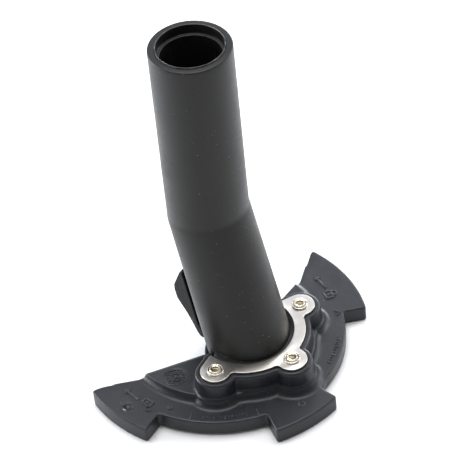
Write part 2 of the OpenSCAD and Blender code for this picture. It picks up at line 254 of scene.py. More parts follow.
def surface_net(field, origin, step):
    """Points and quads of a field's zero surface. The field is negative inside."""
    shape = field.shape
    inside = field < 0
    count = sum(
        inside[dx : shape[0] - 1 + dx, dy : shape[1] - 1 + dy, dz : shape[2] - 1 + dz].astype(np.int8)
        for dx, dy, dz in product((0, 1), repeat=3)
    )
    cells = np.argwhere((count > 0) & (count < 8))
    index = np.full(count.shape, -1, np.int64)
    index[tuple(cells.T)] = np.arange(len(cells))
    corners = list(product((0, 1), repeat=3))
    values = np.stack([field[tuple((cells + c).T)] for c in corners], axis=1)
    total, number = np.zeros((len(cells), 3)), np.zeros(len(cells))
    for i, j in product(range(8), range(8)):
        if i < j and sum(abs(p - q) for p, q in zip(corners[i], corners[j])) == 1:
            a, b = values[:, i], values[:, j]
            cut = (a < 0) != (b < 0)
            t = np.where(cut, a / np.where(cut, a - b, 1), 0)[:, None]
            ci, cj = np.array(corners[i], float), np.array(corners[j], float)
            total += np.where(cut[:, None], ci + (cj - ci) * t, 0)
            number += cut
    points = (cells + total / number[:, None]) * step + np.array(origin)
    quads = []
    for axis in range(3):
        u, v = (axis + 1) % 3, (axis + 2) % 3
        lower = [slice(None)] * 3
        upper = [slice(None)] * 3
        lower[axis], upper[axis] = slice(0, -1), slice(1, None)
        a, b = inside[tuple(lower)], inside[tuple(upper)]
        edges = np.argwhere(a != b)
        edges = edges[(edges[:, u] > 0) & (edges[:, v] > 0)]
        edges = edges[(edges[:, u] < shape[u] - 1) & (edges[:, v] < shape[v] - 1)]
        outward = a[tuple(edges.T)]
        du, dv = np.eye(3, dtype=int)[u], np.eye(3, dtype=int)[v]
        ring = [index[tuple((edges - o).T)] for o in (0 * du, du, du + dv, dv)]
        quad = np.stack(ring, axis=1)
        quad[~outward] = quad[~outward][:, ::-1]
        quads.append(quad)
    return points, np.concatenate(quads)


def relax(points, quads, rounds, amount=0.5):
    """Moves each point towards the mean of its neighbours."""
    pairs = np.concatenate([quads[:, [i, (i + 1) % 4]] for i in range(4)])
    pairs = np.concatenate([pairs, pairs[:, ::-1]])
    degree = np.bincount(pairs[:, 0], minlength=len(points))[:, None]
    for _ in range(rounds):
        mean = np.stack(
            [np.bincount(pairs[:, 0], points[pairs[:, 1], k], len(points)) for k in range(3)], axis=1
        ) / np.maximum(degree, 1)
        points = points + (mean - points) * amount
    return points


# ---- The clamp plate's outline, from the CAD node ----

def top_loops(name, z):
    """The closed edge loops of a CAD node's flat face at height z, in millimetres, longest first."""
    bm = bmesh.new()
    bm.from_mesh(nodes[name].data)
    flat = [f for f in bm.faces if all(abs(v.co.z / MM - z) < 0.01 for v in f.verts)]
    bmesh.ops.delete(bm, geom=[f for f in bm.faces if f not in set(flat)], context="FACES")
    bmesh.ops.remove_doubles(bm, verts=bm.verts, dist=1e-7)
    follow = {}
    for e in bm.edges:
        if len(e.link_faces) == 1:
            loop = e.link_loops[0]
            follow[loop.vert.index] = loop.link_loop_next.vert.index
    where = {v.index: (v.co.x / MM, v.co.y / MM) for v in bm.verts}
    bm.free()
    loops = []
    while follow:
        first, at = next(iter(follow.items()))
        del follow[first]
        loop = [first]
        while at != first:
            loop.append(at)
            at = follow.pop(at)
        loops.append(np.array([where[i] for i in loop]))
    return sorted(loops, key=lambda l: -np.ptp(l[:, 0]))


plate_loops = top_loops("clamp_plate", PLATE_TOP)


# ---- Base ----

def base_fields(step):
    """The base's field on a grid, with the grid's lowest corner."""
    x = np.arange(-96, 96 + step, step, dtype=np.float32)[:, None]
    y = np.arange(-98, 30 + step, step, dtype=np.float32)[None, :]
    z = np.arange(-1.5, 29.5 + step, step, dtype=np.float32)[None, None, :]
    x2, y2 = np.broadcast_arrays(x, y)
    c, s = math.cos(BASE_TURN), math.sin(BASE_TURN)
    bx, by = x2 * c + y2 * s, y2 * c - x2 * s
    radius = np.hypot(bx, by)

    def back(shift):
        """Distance behind the back edge, in the turned frame."""
        far = 150
        knots = np.array([
            (-far, BACK_LEFT[1] + (far + BACK_LEFT[0]) * BACK_SLOPES[0]),
            BACK_LEFT, WAIST_LEFT, WAIST_RIGHT, BACK_RIGHT,
            (far, BACK_RIGHT[1] + (far - BACK_RIGHT[0]) * BACK_SLOPES[1]),
        ])
        line = np.interp(bx, knots[:, 0], knots[:, 1])
        slopes = np.diff(knots[:, 1]) / np.diff(knots[:, 0])
        slope = slopes[np.clip(np.searchsorted(knots[:, 0], bx) - 1, 0, len(slopes) - 1)]
        return (by + shift - line) / np.sqrt(1 + slope * slope)

    def ray(angle):
        """Distance past a ray from the centre, towards larger angles."""
        a = math.radians(angle)
        return bx * math.cos(a) + by * math.sin(a)

    def three(plan):
        """A plan field with a third axis, for the heights."""
        return plan[:, :, None].astype(np.float32)

    behind = back(0)
    lugs = None
    for low, high in LUG_SPANS:
        one = smax(np.maximum(ray(high), -ray(low)), radius - LUG_R, 1.8)
        one = smax(one, behind, 1.5)
        lugs = one if lugs is None else np.minimum(lugs, one)
    rim2 = np.maximum(radius - RIM_R, behind)
    outline = smin(rim2, lugs, 3.0)

    plate = polygon_field(plate_loops[0], x2, y2)
    across = np.hypot(x2, y2 - FOOT_Y)
    blank = np.minimum(plate, np.maximum(across - SEAT_R, y2 - FOOT_Y - SEAT_BACK))

    field = slab(three(outline), z, RIM_LIFT, RIM_TOP, 0.9)
    field = np.minimum(field, slab(three(lugs), z, 0, 6, 0.7))
    # Ledge, which flares out to the rim, with a bevel along its back edge
    share = np.clip((LEDGE_TOP - z) / (LEDGE_TOP - RIM_TOP), 0, 1.2)
    flare = LEDGE_FLARE * share ** 2.2
    ledge2 = smin(radius - LEDGE_R, blank - LEDGE_MARGIN, 0.6)
    ledge = smax(three(ledge2) - flare, z - LEDGE_TOP, 0.8)
    ledge = np.maximum(ledge, RIM_LIFT + 1 - z)
    ledge = smax(ledge, three(behind), 0.8)
    ledge = smax(ledge, (0.35 * three(behind + 2.6) + z - LEDGE_TOP) / 1.06, 0.3)
    field = smin(field, ledge, 1.2)
    draft = (z - LEDGE_TOP) / (BOSS_TOP - LEDGE_TOP)
    boss = smax(three(blank - BOSS_MARGIN - 0.9) + draft, z - BOSS_TOP, 1.6)
    boss = np.maximum(boss, RIM_TOP - z)
    field = smin(field, boss, 1.6)
    cup = slab(three(np.hypot(x2, y2 - CUP_Y) - CUP_R), z, RIM_LIFT, LEDGE_TOP - 0.8, 0.8)
    field = np.minimum(field, cup)

    # Seats and bores
    field = smax(field, -np.maximum(three(blank) - 0.3, PLATE_Z - z), 0.3)
    collar = np.maximum(three(across) - COLLAR_SEAT_R, COLLAR_SEAT_Z - z)
    collar = np.maximum(collar, three(y2 - FOOT_Y - COLLAR_SEAT_BACK))
    field = np.maximum(field, -collar)
    lean_v = three(y2 - FOOT_Y) * math.cos(LEAN) - (z - PLATE_TOP) * math.sin(LEAN)
    socket = np.maximum(np.hypot(three(x2), lean_v) - FOOT_R - 0.25, TUBE_FLOOR - z)
    field = smax(field, -socket, 0.5)
    for angle in SCREW_ANGLES.values():
        a = math.radians(angle)
        hole = np.hypot(x2 - SCREW_R * math.cos(a), y2 - FOOT_Y - SCREW_R * math.sin(a))
        field = np.maximum(field, -np.maximum(three(hole - INSERT_HOLE_R), INSERT_HOLE_Z - z))
    well = np.hypot(x2, y2 - PLUNGER_Y)
    field = np.maximum(field, -three(well - GUIDE_HOLE_R))

    # Hollow underside with ribs
    hollow = np.maximum(radius - RIM_R + WALL, back(BACK_WALL))
    for angle in RIB_ANGLES:
        rib = np.maximum(np.abs(ray(angle)) - RIB_HALF, RIB_START - radius)
        hollow = np.maximum(hollow, -rib)
    hollow = np.maximum(hollow, GUIDE_WALL_R - well)
    field = smax(field, -np.maximum(three(hollow), z - HOLLOW_TOP), 0.6)

    # Dimple on the left lug, and the date dial's recess
    dimple = three((x2 - DIMPLE[0]) ** 2 + (y2 - DIMPLE[1]) ** 2)
    dimple = np.sqrt(dimple + (z - RIM_TOP - DIMPLE_RISE) ** 2) - DIMPLE_R
    field = smax(field, -dimple, 0.5)
    disc = three(np.hypot(x2 - DIAL[0], y2 - DIAL[1]) - DIAL_R)
    disc = np.maximum(disc, LEDGE_TOP - DIAL_DEPTH - z)
    field = smax(field, -disc, 0.4)
    return field, (x[0, 0], y[0, 0], z[0, 0, 0])


def make_base():
    step = 0.6
    field, origin = base_fields(step)
    points, quads = surface_net(field, origin, step)
    points = relax(points, quads, 1, 0.5)
    points[:, 2] = np.clip(points[:, 2], 0, None)
    base = add_mesh("base_moulding", points, quads)
    less = base.modifiers.new("less", "DECIMATE")
    less.ratio = 0.45
    apply_modifiers(base)
    base.data.shade_smooth()
    return base


# ---- Tube ----

COLS = 144
turn = np.arange(COLS) * 2 * math.pi / COLS
RIGHT = np.array([1.0, 0, 0])
UP_LOW = np.array([0, math.sin(LEAN), math.cos(LEAN)])
BACK_LOW = np.array([0, math.cos(LEAN), -math.sin(LEAN)])
FOOT = np.array([0, FOOT_Y, PLATE_TOP])
MITRE = np.array([0, math.sin(LEAN / 2), math.cos(LEAN / 2)])


def lower_radius(s):
    return FOOT_R + (BEND_R - FOOT_R) * np.clip(s / LOWER_TAPER, 0, None)


def upper_radius(z):
    return BEND_R + (MOUTH_R - BEND_R) * (z - UPPER_TAPER_Z) / (MOUTH_Z - UPPER_TAPER_Z)


def throat_radius(_):
    return THROAT_R


def lower_ring(s, radius):
    """A ring of the lower tube at each column's own height s."""
    s = np.broadcast_to(s, turn.shape)
    across, behind = radius * np.cos(turn), radius * np.sin(turn)
    return FOOT + s[:, None] * UP_LOW + across[:, None] * RIGHT + behind[:, None] * BACK_LOW


def upper_ring(z, radius):
    """A ring of the upper tube at each column's own height z."""
    z = np.broadcast_to(z, turn.shape)
    return np.stack([radius * np.cos(turn), BEND[1] + radius * np.sin(turn), z], axis=1)


def lower_mitre(radius_at):
    """Each column's height s where it meets the mitre plane."""
    s = np.full(COLS, 93.0)
    for _ in range(8):
        gap = (lower_ring(s, radius_at(s)) - BEND) @ MITRE
        s = s - gap / (UP_LOW @ MITRE)
    return s


def upper_mitre(radius_at):
    """Each column's height z where it meets the mitre plane."""
    z = np.full(COLS, BEND[2])
    for _ in range(8):
        gap = (upper_ring(z, radius_at(z)) - BEND) @ MITRE
        z = z - gap / MITRE[2]
    return z


def lower_floor(radius, height):
    """Each column's s on the level plane at a height."""
    return (height - PLATE_TOP + radius * np.sin(turn) * math.sin(LEAN)) / math.cos(LEAN)


def make_tube():
    """The tube's outside, rounded lip and bores as rings, with the window for the lever's toe."""
    rings = []
    s_top, z_low = lower_mitre(lower_radius), upper_mitre(upper_radius)
    s_floor = lower_floor(FOOT_R, TUBE_FLOOR)
    for f in np.linspace(0, 1, 24)[:-1]:
        s = s_floor + (s_top - 7 - s_floor) * f
        rings.append(lower_ring(s, lower_radius(s)))
    for back in np.arange(7, 0, -1.0):
        s = s_top - back
        rings.append(lower_ring(s, lower_radius(s)))
    crease = len(rings)
    below, above = lower_ring(s_top, lower_radius(s_top)), upper_ring(z_low, upper_radius(z_low))
    rings.append((below + above) / 2)
    for rise in np.arange(1.0, 8, 1.0):
        z = z_low + rise
        rings.append(upper_ring(z, upper_radius(z)))
    for f in np.linspace(0, 1, 26)[1:]:
        z = z_low + 7 + (MOUTH_Z - LIP_R - z_low - 7) * f
        rings.append(upper_ring(z, upper_radius(z)))
    # A softened crease
    rings = np.array(rings)
    for _ in range(3):
        a, b = crease - 5, crease + 6
        rings[a:b] = (rings[a - 1 : b - 1] + 2 * rings[a:b] + rings[a + 1 : b + 1]) / 4
    rings = list(rings)
    # Rounded lip, then down the bores
    for t in np.radians([15, 35, 55, 75, 90]):
        lift, reach = LIP_R * math.sin(t), LIP_R * math.cos(t)
        rings.append(upper_ring(MOUTH_Z - LIP_R + lift, MOUTH_R - LIP_R + reach))
    for depth, radius in ((0, 22.5), (0, 21.3), (0.15, 20.9), (0.5, LINER_BORE_R)):
        rings.append(upper_ring(MOUTH_Z - depth, radius))
    for z in np.linspace(MOUTH_Z - 1.5, LINER_BORE_Z, 12):
        rings.append(upper_ring(z, LINER_BORE_R))
    rings.append(upper_ring(LINER_BORE_Z, THROAT_R))
    rings.append(upper_ring(upper_mitre(throat_radius), THROAT_R))
    for f in np.linspace(0, 1, 6)[1:]:
        s = lower_mitre(throat_radius) * (1 - f) + THROAT_S * f
        rings.append(lower_ring(s, THROAT_R))
    rings.append(lower_ring(THROAT_S, LOWER_BORE_R))
    rings.append(lower_ring(lower_floor(LOWER_BORE_R, TUBE_FLOOR), LOWER_BORE_R))
    verts = np.concatenate(rings)
    faces = grid_faces(len(rings), COLS, True)
    tube = add_mesh("tube_shell", verts, faces)
    # Window for the lever's toe
    box = bmesh.new()
    bmesh.ops.create_cube(box, size=1)
    for v in box.verts:
        v.co.x *= WINDOW[0] * MM
        v.co.y = (PIVOT[1] - 5 + v.co.y * WINDOW[1]) * MM
        v.co.z = (PIVOT[2] + 1 + v.co.z * WINDOW[2]) * MM
    cutter = from_bmesh("window", box)
    cut = tube.modifiers.new("cut", "BOOLEAN")
    cut.operation, cut.object, cut.solver = "DIFFERENCE", cutter, "EXACT"
    apply_modifiers(tube)
    bpy.data.objects.remove(cutter)
    tube.data.shade_smooth()
    tube.data.set_sharp_from_angle(angle=math.radians(40))
    return tube


def make_collar():
    """The foot's collar, with a fillet up to the tube, cut off behind."""
    profile = rounded(
        [(25.5, 21.5), (33.3, 21.5), (33.3, 26.4), (29.4, 26.4)], [0, 0.3, 0.6, 0], 3
    ) + [(28.4, 26.7), (27.7, 27.4), (27.25, 28.4), (27.0, 29.6), (25.5, 29.6)]
    count = 73
    angles = np.radians(np.linspace(178, 362, count))
    verts = [
        (r * math.cos(a), FOOT_Y + r * math.sin(a) + max(0, z - 27) * COLLAR_LEAN, z)
        for a in angles
        for r, z in profile
    ]
    n = len(profile)
    faces = [
        (i * n + j, (i + 1) * n + j, (i + 1) * n + (j + 1) % n, i * n + (j + 1) % n)
        for i in range(count - 1)
        for j in range(n)
    ]
    faces.append(tuple(range(n)))
    faces.append(tuple(range((count - 1) * n, count * n))[::-1])
    obj = add_mesh("tube_collar", verts, faces)
    recalc(obj)
    obj.data.set_sharp_from_angle(angle=math.radians(35))
    return obj


def in_tube(v, s, x):
    """A point given by its distance behind the lower tube's axis and its height along it."""
    return FOOT + s * UP_LOW + v * BACK_LOW + x * RIGHT


def make_ear(name, span):
    """One of the two ears that hold the lever's pin."""
    bm = bmesh.new()
    for x in span:
        for a in np.linspace(0, 2 * math.pi, 33)[:-1]:
            rim = in_tube(EAR_BEHIND + EAR_R * math.cos(a), EAR_R * math.sin(a), x)
            bm.verts.new((rim * MM).tolist())
        for v, s in ((22, -4), (22, 6)):
            bm.verts.new((in_tube(v, s, x) * MM).tolist())
    bmesh.ops.convex_hull(bm, input=bm.verts)
    bmesh.ops.dissolve_limit(bm, angle_limit=0.02, verts=bm.verts, edges=bm.edges)
    obj = from_bmesh(name, bm)
    recalc(obj)
    edge = obj.modifiers.new("edge", "BEVEL")
    edge.width, edge.segments, edge.limit_method = 0.3 * MM, 2, "ANGLE"
    apply_modifiers(obj)
    obj.data.shade_smooth()
    obj.data.set_sharp_from_angle(angle=math.radians(30))
    return obj


def make_liner():
    """The thin sleeve in the mouth, with a wider step at its top."""
    points = [
        (LINER_OUT_R, LINER_LOW), (LINER_OUT_R, LINER_TOP), (LINER_LIP_R, LINER_TOP),
        (LINER_LIP_R, LINER_STEP), (LINER_IN_R, LINER_STEP), (LINER_IN_R, LINER_LOW),
    ]
    profile = rounded(points, [0, 0.28, 0.28, 0.5, 0.5, 0.3], 3)
    return lathe("liner_sleeve", profile, (0, BEND[1]), 128)


# ---- Plate and screws ----

def make_plate():
    """The plate's outline as a filled curve with rounded edges, made into a mesh."""
    edge = 0.3
    curve = bpy.data.curves.new("plate_curve", "CURVE")
    curve.dimensions, curve.fill_mode = "2D", "BOTH"
    curve.extrude = (PLATE_T / 2 - edge) * MM
    curve.bevel_depth, curve.bevel_resolution = edge * MM, 3
    curve.offset = -edge * MM
    for loop in plate_loops:
        spline = curve.splines.new("POLY")
        spline.points.add(len(loop) - 1)
        spline.use_cyclic_u = True
        for p, (px, py) in zip(spline.points, loop):
            p.co = (px * MM, py * MM, 0, 1)
    shape = new_object("plate_curve", curve)
    graph = bpy.context.evaluated_depsgraph_get()
    mesh = bpy.data.meshes.new_from_object(shape.evaluated_get(graph), depsgraph=graph)
    bpy.data.objects.remove(shape)
    mesh.name = "plate_pressing"
    mesh.transform(Matrix.Translation((0, 0, (PLATE_Z + PLATE_T / 2) * MM)))
    obj = new_object("plate_pressing", mesh)
    bm = bmesh.new()
    bm.from_mesh(mesh)
    bmesh.ops.remove_doubles(bm, verts=bm.verts, dist=2e-6)
    bmesh.ops.recalc_face_normals(bm, faces=bm.faces)
    bm.to_mesh(mesh)
    bm.free()
    mesh.shade_smooth()
    mesh.set_sharp_from_angle(angle=math.radians(38))
    return obj


# Radius and height above the plate, over the screw's flange, groove and dome
HEAD_PROFILE = [
    (4.95, 0), (5.12, 0.1), (5.2, 0.35), (5.2, 0.75), (5.1, 1.02), (4.88, 1.18), (4.6, 1.2),
    (4.35, 1.12), (4.1, 0.9), (3.85, 0.85), (3.62, 0.95), (3.58, 1.2), (3.56, 1.55), (3.45, 1.78),
    (3.22, 1.89), (2.95, 1.9), (2.75, 1.86),
]


def make_screw(side):
    """A flanged socket screw: shank, flange, domed head and hexagonal socket."""
    a = math.radians(SCREW_ANGLES[side])
    cx, cy = SCREW_R * math.cos(a), FOOT_Y + SCREW_R * math.sin(a)
    segments = 96
    angles = np.arange(segments) * 2 * math.pi / segments
    sector = (angles + 0.35) % (math.pi / 3) - math.pi / 6
    hexagon = HEX_R / np.cos(sector)
    top = PLATE_TOP
    rings = [(2.0, 18.3), (SHANK_R, 18.8), (SHANK_R, top)]
    rings += [(r, top + h) for r, h in HEAD_PROFILE]
    rings += [
        (np.maximum(hexagon, 2.45), top + 1.72), (hexagon, top + 1.55), (hexagon, top + 0.62),
        (hexagon * 0.95, top + 0.56), (hexagon * 0.5, top + 0.5), (0.05, top + 0.48),
    ]
    verts = np.concatenate([
        np.stack([cx + r * np.cos(angles), cy + r * np.sin(angles), np.full(segments, z)], axis=1)
        for r, z in rings
    ])
    faces = grid_faces(len(rings), segments)
    faces.append(tuple(range(segments))[::-1])
    last = (len(rings) - 1) * segments
    faces.append(tuple(range(last, last + segments)))
    obj = add_mesh("screw_" + side, verts, faces)
    recalc(obj)
    obj.data.set_sharp_from_angle(angle=math.radians(40))
    return obj


# ---- Lever ----

def make_lever():
    """The CAD lever with its edges softened."""
    obj = copy_node("release_lever", "lever_moulding")
    net = obj.modifiers.new("net", "REMESH")
    net.mode, net.voxel_size, net.adaptivity = "VOXEL", 0.36 * MM, 0
    soft = obj.modifiers.new("soft", "SMOOTH")
    soft.factor, soft.iterations = 0.5, 6
    less = obj.modifiers.new("less", "DECIMATE")
    less.ratio = 0.35
    apply_modifiers(obj)
    obj.data.shade_smooth()
    return obj


# ---- Plunger spring ----

SPRING_R = 4.3
WIRE_R = 0.6
SPRING_TURNS = 7


def make_spring():
    """A helix of round wire that fills the height of the CAD spring."""
    low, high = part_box("plunger_spring")
    z0, z1 = low[2] / MM + WIRE_R, high[2] / MM - WIRE_R
    sides, steps = 14, SPRING_TURNS * 36
    around = np.arange(sides) * 2 * math.pi / sides
    verts = []
    for i in range(steps + 1):
        a = 2 * math.pi * SPRING_TURNS * i / steps
        out = np.array([math.cos(a), math.sin(a), 0])
        climb = (z1 - z0) / (2 * math.pi * SPRING_TURNS * SPRING_R)
        along = np.array([-math.sin(a), math.cos(a), climb]) / math.hypot(1, climb)
        side = np.cross(along, out)
        middle = np.array([0, PLUNGER_Y, z0 + (z1 - z0) * i / steps]) + SPRING_R * out
        verts.extend(middle + WIRE_R * (math.cos(t) * out + math.sin(t) * side) for t in around)
    faces = grid_faces(steps + 1, sides)
    faces.append(tuple(range(sides))[::-1])
    faces.append(tuple(range(steps * sides, (steps + 1) * sides)))
    obj = add_mesh("spring_coil", verts, faces)
    recalc(obj)
    obj.data.set_sharp_from_angle(angle=math.radians(60))
    return obj


# ---- Raised marks on the base ----

def turned(r, angle):
    """A plan point of the base, from its radius and its angle from the front."""
    a = math.radians(angle) + BASE_TURN
    return np.array([r * math.sin(a), -r * math.cos(a)])


def relief(bm, outline, z, height):
    """Adds a closed flat shape of that height, with sides drawn in at the top."""
    outline = np.asarray(outline, float)
    centre = outline.mean(axis=0)
    area = sum(a[0] * b[1] - b[0] * a[1] for a, b in zip(outline, np.roll(outline, -1, axis=0)))
    if area < 0:
        outline = outline[::-1]
    sunk, drawn_in = 0.3, 0.94
    low = [bm.verts.new((x * MM, y * MM, (z - sunk) * MM)) for x, y in outline]
    inner = centre + (outline - centre) * drawn_in
    high = [bm.verts.new((x * MM, y * MM, (z + height) * MM)) for x, y in inner]
    bm.faces.new(low[::-1])
    bm.faces.new(high)
    n = len(low)
    for i in range(n):
        j = (i + 1) % n
        bm.faces.new((low[i], low[j], high[j], high[i]))


def band(bm, path, width, z, height):
    """A raised stroke along an open path, as quads."""
    path = np.asarray(path, float)
    for p, q in zip(path[:-1], path[1:]):
        d = (q - p) / max(np.linalg.norm(q - p), 1e-9)
        side = np.array([-d[1], d[0]]) * width / 2
        over = d * width * 0.12
        relief(bm, [p - side - over, q - side + over, q + side + over, p + side - over], z, height)


def circle(centre, radius, count):
    """Points round a circle, the last on the first."""
    angles = np.linspace(0, 2 * math.pi, count)
    return [centre + radius * np.array([math.cos(t), math.sin(t)]) for t in angles]


def arc_path(radius, first, last, count):
    """Points along an arc about the base's centre."""
    return [turned(radius, a) for a in np.linspace(first, last, count)]


def padlock(bm, centre, across, along, size, opened):
    """A padlock drawn with strokes: across is its width's direction, along points to its shackle."""

    def place(u, v):
        return centre + across * u * size + along * v * size

    body = [place(-0.5, -0.55), place(0.5, -0.55), place(0.5, 0.15), place(-0.5, 0.15)]
    band(bm, body + body[:1], 0.16 * size, RIM_TOP, 0.4)
    middle = 0.6 if opened else 0.0
    angles = np.linspace(0, math.pi, 9)
    arc = [place(middle + 0.3 * math.cos(a), 0.35 + 0.32 * math.sin(a)) for a in angles]
    feet = ([], [place(0.3, 0.15)]) if opened else ([place(0.3, 0.15)], [place(-0.3, 0.15)])
    band(bm, feet[0] + arc + feet[1], 0.14 * size, RIM_TOP, 0.4)
    band(bm, [place(0, -0.32), place(0, -0.08)], 0.16 * size, RIM_TOP, 0.4)


def make_marks():
    """The generic marks of the open and the locked position, the scale bars and the date dial."""
    bm = bmesh.new()
    height = 0.45
    for middle, opened, side in ((-77.5, True, -1), (74.5, False, 1)):
        padlock(bm, turned(75.8, middle), turned(1, middle + 90), turned(1, middle), 6.4, opened)
        # Curved arrow beside the padlock
        first, last = middle + 5 * side, middle + 12.5 * side
        band(bm, arc_path(76.0, first, last, 7), 1.3, RIM_TOP, height)
        barb = last - 0.3 * side
        tip = turned(76.0, last + 2.6 * side)
        relief(bm, [tip, turned(78.4, barb), turned(73.6, barb)], RIM_TOP, height)
    # Ring on the front lug, and a small notch mark beside the left one
    band(bm, circle(turned(82.4, -2.2), 2, 17), 0.7, RIM_TOP, 0.3)
    notch = [turned(70.2, -64.6), turned(73.0, -65.6), turned(70.2, -66.8)]
    band(bm, notch, 0.8, RIM_TOP, 0.4)
    # Index mark between the lugs
    index = [turned(73.2, 59.0), turned(76.6, 60.6), turned(73.2, 62.4)]
    band(bm, index, 0.9, RIM_TOP, height)
    # Rows of short bars between the lugs
    for a in (-54, -21.7):
        band(bm, [turned(71.3, a), turned(77.0, a)], 0.6, RIM_TOP, 0.4)
    for first, last, count in ((-48, -27, 13), (26, 44, 11)):
        for i, a in enumerate(np.linspace(first, last, count)):
            length = 1.4 if i % 3 else 2.6
            band(bm, [turned(73.0, a), turned(73.0 + length, a)], 0.7, RIM_TOP, 0.4)
    # Date dial in its recess on the ledge
    dial = np.array(DIAL)
    floor = LEDGE_TOP - 0.6
    band(bm, circle(dial, 6.6, 41), 0.5, floor, 0.5)
    band(bm, circle(dial, 3.2, 25), 0.45, floor, 0.5)
    for degrees, near, far in ((np.arange(15, 360, 30), 4.3, 5.3), ([70, 190, 310], 0, 2.4)):
        for t in np.radians(degrees):
            d = np.array([math.cos(t), math.sin(t)])
            band(bm, [dial + near * d, dial + far * d], 0.5, floor, 0.5)
    return from_bmesh("base_marks", bm)


# ---- Materials ----

class Graph:
    """Short calls for building a material's nodes."""

    def __init__(self, name):
        self.material = bpy.data.materials.new(name)
        self.material.use_nodes = True
        self.tree = self.material.node_tree
        self.shader = next(n for n in self.tree.nodes if n.type == "BSDF_PRINCIPLED")
        self.place = self.node("ShaderNodeTexCoord").outputs["Object"]

    def node(self, kind, **settings):
        """A new node with its settings."""
        n = self.tree.nodes.new(kind)
        for key, value in settings.items():
            setattr(n, key, value)
        return n

    def link(self, source, target):
        self.tree.links.new(source, target)

    def stretched(self, scale, turn):
        """The object's own coordinates, scaled and turned."""
        n = self.node("ShaderNodeMapping")
        n.inputs["Scale"].default_value = scale
        n.inputs["Rotation"].default_value = turn
        self.link(self.place, n.inputs["Vector"])
        return n.outputs["Vector"]

    def noise(self, scale, detail=2.0, rough=0.5, place=None):
        """Noise from 0 to 1, on the object's own coordinates if no place is given."""
        n = self.node("ShaderNodeTexNoise")
        n.inputs["Scale"].default_value = scale
        n.inputs["Detail"].default_value = detail
        n.inputs["Roughness"].default_value = rough
        self.link(place or self.place, n.inputs["Vector"])
        return n.outputs["Fac"]

    def specks(self, scale, size):
        """Small dots at random places, 1 inside a dot."""
        n = self.node("ShaderNodeTexVoronoi")
        n.inputs["Scale"].default_value = scale
        self.link(self.place, n.inputs["Vector"])
        return self.spread(n.outputs["Distance"], size, size * 0.5, 0, 1)

    def spread(self, value, low, high, to_low, to_high):
        """A value mapped from one range to another, and kept inside it."""
        n = self.node("ShaderNodeMapRange")
        n.inputs["From Min"].default_value = low
        n.inputs["From Max"].default_value = high
        n.inputs["To Min"].default_value = to_low
        n.inputs["To Max"].default_value = to_high
        self.link(value, n.inputs["Value"])
        return n.outputs["Result"]

    def math(self, kind, a, b):
        """A sum on two values, each a number or a node's output."""
        n = self.node("ShaderNodeMath", operation=kind)
        for socket, value in zip(n.inputs, (a, b)):
            if isinstance(value, (int, float)):
                socket.default_value = value
            else:
                self.link(value, socket)
        return n.outputs[0]

    def mix(self, share, a, b):
        """A colour between a and b. The node's colour sockets are 6 and 7."""
        n = self.node("ShaderNodeMix", data_type="RGBA")
        for socket, value in ((n.inputs[0], share), (n.inputs[6], a), (n.inputs[7], b)):
            if isinstance(value, tuple):
                socket.default_value = (*value, 1)
            elif isinstance(value, (int, float)):
                socket.default_value = value
            else:
                self.link(value, socket)
        return n.outputs[2]

    def edges(self, low, high):
        """1 on convex edges, for rubbed edges and painted edge highlights, 0 elsewhere."""
        return self.spread(self.node("ShaderNodeNewGeometry").outputs["Pointiness"], low, high, 0, 1)

    def bump(self, height, depth, strength=1.0, under=None):
        """A normal roughened by a height, on top of another bump if one is given."""
        n = self.node("ShaderNodeBump")
        n.inputs["Distance"].default_value = depth * MM
        n.inputs["Strength"].default_value = strength
        self.link(height, n.inputs["Height"])
        if under is not None:
            self.link(under, n.inputs["Normal"])
        return n.outputs["Normal"]

    def finish(self, colour, rough, normal, metallic, specular=0.5):
        """Links everything to the shader and gives the material."""
        s = self.shader
        self.link(colour, s.inputs["Base Color"])
        self.link(rough, s.inputs["Roughness"])
        self.link(normal, s.inputs["Normal"])
        s.inputs["Metallic"].default_value = metallic
        s.inputs["Specular IOR Level"].default_value = specular
        return self.material


def plastic(name, dark, light, rough, grain, grain_scale, wear_and_highlight, worn_and_lit_colour, dust, specular=0.5):
    """Moulded plastic or rubber, with clouded colour, fine grain, lighter convex edges (partly
    rubbed, partly painted highlights) and specks of dust.
    """
    g = Graph(name)
    cloud = g.noise(45, 4, 0.6)
    fine = g.noise(420, 3, 0.6)
    colour = g.mix(g.spread(cloud, 0.35, 0.65, 0, 1), dark, light)
    colour = g.mix(g.spread(fine, 0.3, 0.7, 0, 0.35), colour, tuple(c * 1.5 for c in light))
    # Lighter colour on convex edges: partly rubbed edges, partly painted highlights along the edges
    edge = g.edges(0.52, 0.60)
    scuff_and_highlight_patches = g.spread(g.noise(160, 5, 0.7), 0.45, 0.62, 0.15, 1)
    wear_and_highlight_share = g.math("MULTIPLY", g.math("MULTIPLY", edge, scuff_and_highlight_patches), wear_and_highlight)
    colour = g.mix(wear_and_highlight_share, colour, worn_and_lit_colour or tuple(min(1, c * 4 + 0.05) for c in light))
    dots = g.math("MULTIPLY", g.specks(330, 0.12), g.spread(g.noise(90, 2), 0.5, 0.65, 0, dust))
    colour = g.mix(dots, colour, (0.3, 0.29, 0.27))
    broad = g.spread(cloud, 0.3, 0.7, rough - 0.06, rough + 0.06)
    roughness = g.math("ADD", broad, g.spread(fine, 0.3, 0.7, -0.04, 0.04))
    roughness = g.math("SUBTRACT", roughness, g.math("MULTIPLY", wear_and_highlight_share, 0.12))
    normal = g.bump(g.noise(grain_scale, 2, 0.6), grain)
    normal = g.bump(g.noise(260, 3, 0.5), 0.06, 0.5, normal)
    return g.finish(colour, roughness, normal, 0.0, specular)


